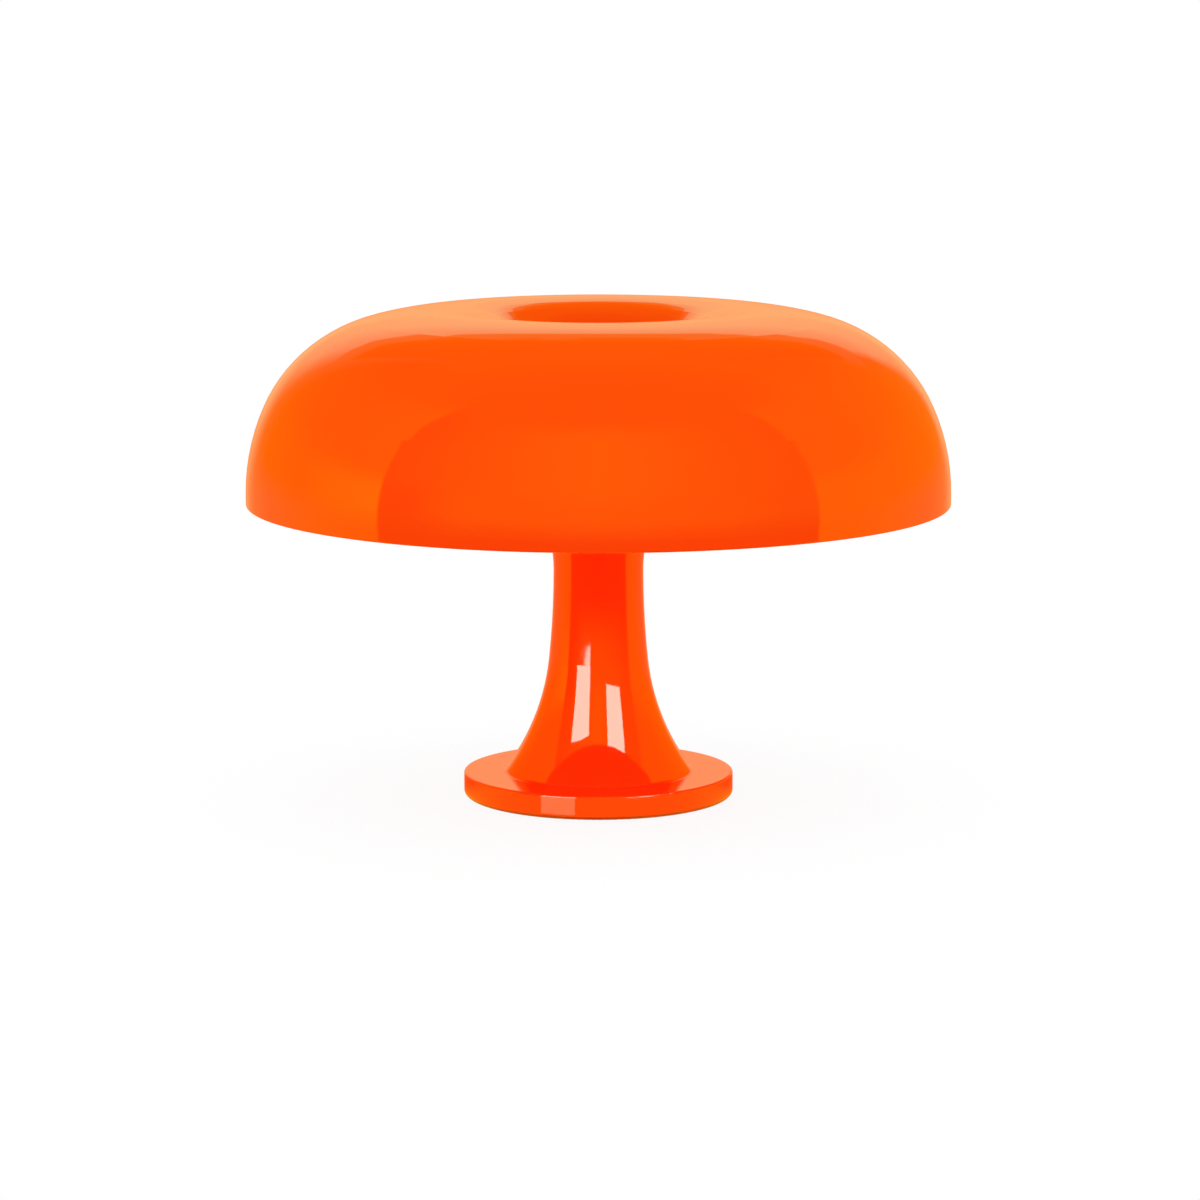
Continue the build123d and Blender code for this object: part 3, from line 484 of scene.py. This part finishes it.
def only_on(light, piece):
    """Makes a lamp reach only one of the pieces."""
    group = bpy.data.collections.new(f"lit_by_{light.name}")
    group.objects.link(piece)
    light.light_linking.receiver_collection = group


shade_node = nodes_of["shade"]
stem_node = nodes_of["stem_base"]
WINDOW_DISTANCE = 0.62
WINDOW_LEVEL = 13.0
WINDOW_COLOUR = (1.0, 1.0, 0.86)


def window_light(name, turn, half_turn, low, high):
    """An upright window light, which only the stem's gloss sees."""
    width = 2 * WINDOW_DISTANCE * tan(radians(half_turn))
    power = WINDOW_LEVEL * width * (high - low) * pi
    middle = (low + high) / 2
    place = round_lamp(radians(turn), WINDOW_DISTANCE, middle)
    pane = lamp(name, place, (0, 0, middle), width, high - low, power, WINDOW_COLOUR)
    pane.visible_diffuse = False
    pane.visible_transmission = False
    only_on(pane, stem_node)


window_light("window_left", -33.9, 15.2, 0.067, 0.461)
window_light("window_right", 31.3, 14.3, 0.168, 0.563)


# Two glowing sheets that only glossy rays see, which paint a reflection on the rim of the foot:
# a painted reflection of the pale table top and, at the left, a painted reflection of the window
# in it.

FOOT_RADIUS = 0.0617
TABLE_REFLECTION_RING = (0.062, 0.150)
TABLE_REFLECTION_HEIGHT = 0.0002
TABLE_REFLECTION_STEPS = 96
# The painted reflection's colour changes between these depths, front to back
PAINTED_REFLECTION_DEPTHS = (-0.035, 0.02)
WINDOW_REFLECTION_TURNS = (-24.7, -9.9)
WINDOW_REFLECTION_REACH = (0.010, 0.056)
WINDOW_REFLECTION_HEIGHT = 0.0004


def painted_reflection_sheet(name, corners, faces, colour, strength, far_colour=None):
    """A glowing sheet for a painted reflection, seen by the gloss alone, which may take another
    colour toward the back.
    """
    material = bpy.data.materials.new(f"{name}_glow")
    material.use_nodes = True
    glow_tree = material.node_tree
    glow = glow_tree.nodes.new("ShaderNodeEmission")
    link_or_set(glow_tree, glow.inputs["Color"], colour)
    if far_colour is not None:
        depth = glow_tree.nodes.new("ShaderNodeSeparateXYZ")
        place = glow_tree.nodes.new("ShaderNodeTexCoord").outputs["Object"]
        glow_tree.links.new(place, depth.inputs[0])
        toward_back = rise(glow_tree, depth.outputs["Y"], *PAINTED_REFLECTION_DEPTHS)
        turned = blend_colour(glow_tree, toward_back, colour, far_colour)
        glow_tree.links.new(turned, glow.inputs["Color"])
    glow.inputs["Strength"].default_value = strength
    glow_tree.links.new(glow.outputs[0], glow_tree.nodes["Material Output"].inputs[0])
    sheet = flat_sheet(name, corners, material, faces)
    sheet.visible_camera = False
    sheet.visible_diffuse = False
    sheet.visible_transmission = False
    sheet.visible_shadow = False


ring_corners = []
ring_faces = []
for step in range(TABLE_REFLECTION_STEPS):
    turn = 2 * pi * step / TABLE_REFLECTION_STEPS
    for reach in TABLE_REFLECTION_RING:
        ring_corners.append((reach * cos(turn), reach * sin(turn), TABLE_REFLECTION_HEIGHT))
    after = (step + 1) % TABLE_REFLECTION_STEPS
    ring_faces.append((2 * step, 2 * step + 1, 2 * after + 1, 2 * after))
# Painted reflection of the table top on the foot rim: yellowish in front, red-orange toward the
# back
painted_reflection_sheet("painted_table_reflection", ring_corners, ring_faces, (1.0, 1.0, 0.04), 1.1, (0.9, 0.16, 0.02))

# A ray that meets the rim at a turn leaves it at twice that turn
start_turn, end_turn = (radians(turn) for turn in WINDOW_REFLECTION_TURNS)
near, far = WINDOW_REFLECTION_REACH
image_corners = []
for turn, reach in ((start_turn, near), (start_turn, far), (end_turn, far), (end_turn, near)):
    across = FOOT_RADIUS * sin(turn) + reach * sin(2 * turn)
    along = -FOOT_RADIUS * cos(turn) - reach * cos(2 * turn)
    image_corners.append((across, along, WINDOW_REFLECTION_HEIGHT))
# Painted reflection of the left window on the foot rim, a glowing sheet that only glossy rays
# see
painted_reflection_sheet("painted_window_reflection", image_corners, [(0, 1, 2, 3)], (1.0, 0.95, 0.36), 3.9)


# Low light all round, which stands in for what a pale room throws up at the shade

FILL_LAMPS = 6
FILL_POWER = 3.4

for number in range(FILL_LAMPS):
    place = round_lamp(radians(360 / FILL_LAMPS * number), 1.4, 0.07)
    fill = lamp(f"low_fill_{number}", place, (0, 0, 0.17), 1.2, 0.12, FILL_POWER)
    fill.visible_glossy = False
    only_on(fill, shade_node)


# The glow that the orange shade throws down on the stem

GLOW_TURNS = (-60.0, -20.0, 20.0, 60.0)
GLOW_POWER = 0.34
GLOW_COLOUR = (1.0, 0.006, 0.0)

for number, turn in enumerate(GLOW_TURNS):
    place = round_lamp(radians(turn), 0.12, 0.128)
    glow = lamp(f"shade_glow_{number}", place, (0, 0, 0.06), 0.07, 0.04, GLOW_POWER, GLOW_COLOUR)
    glow.visible_glossy = False
    only_on(glow, stem_node)


scene.view_settings.view_transform = "Standard"
